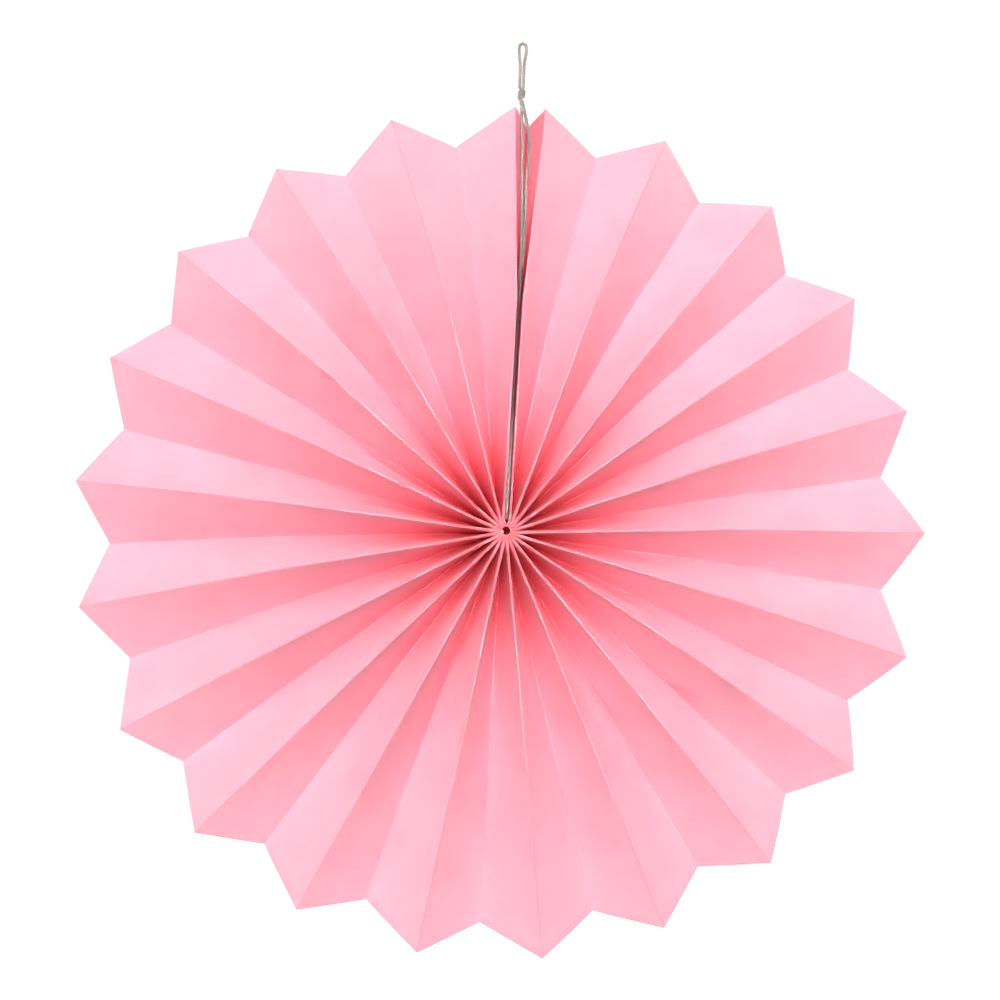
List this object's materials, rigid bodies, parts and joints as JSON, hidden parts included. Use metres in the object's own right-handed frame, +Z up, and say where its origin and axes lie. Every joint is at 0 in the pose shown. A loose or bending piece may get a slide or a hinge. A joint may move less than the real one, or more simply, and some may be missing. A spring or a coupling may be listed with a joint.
{
  "type": "paper fan rosette",
  "caption": "Round pleated card rosette with pointed pleat tips, threaded on a string near its hub and hung upright from a knotted string loop.",
  "frame": {"origin": "the point inside the top of the hanging loop where a hook bears, straight above the hub", "axes": "+Z up as it hangs, -Y the front of the rosette, +X to the right seen from the front; the seam stands near +Z, leaning 1.2 degrees to +X"},
  "size_m": [0.2995, 0.0292, 0.3234],
  "materials": {
    "pink_card": "matte",
    "tape": "matte",
    "string": "matte"
  },
  "bodies": {
    "root": {"pleated_paper": "pink_card", "seam_tape": "tape", "hanging_string": "string", "knot": "string", "string_loop": "string"}
  },
  "joints": []
}
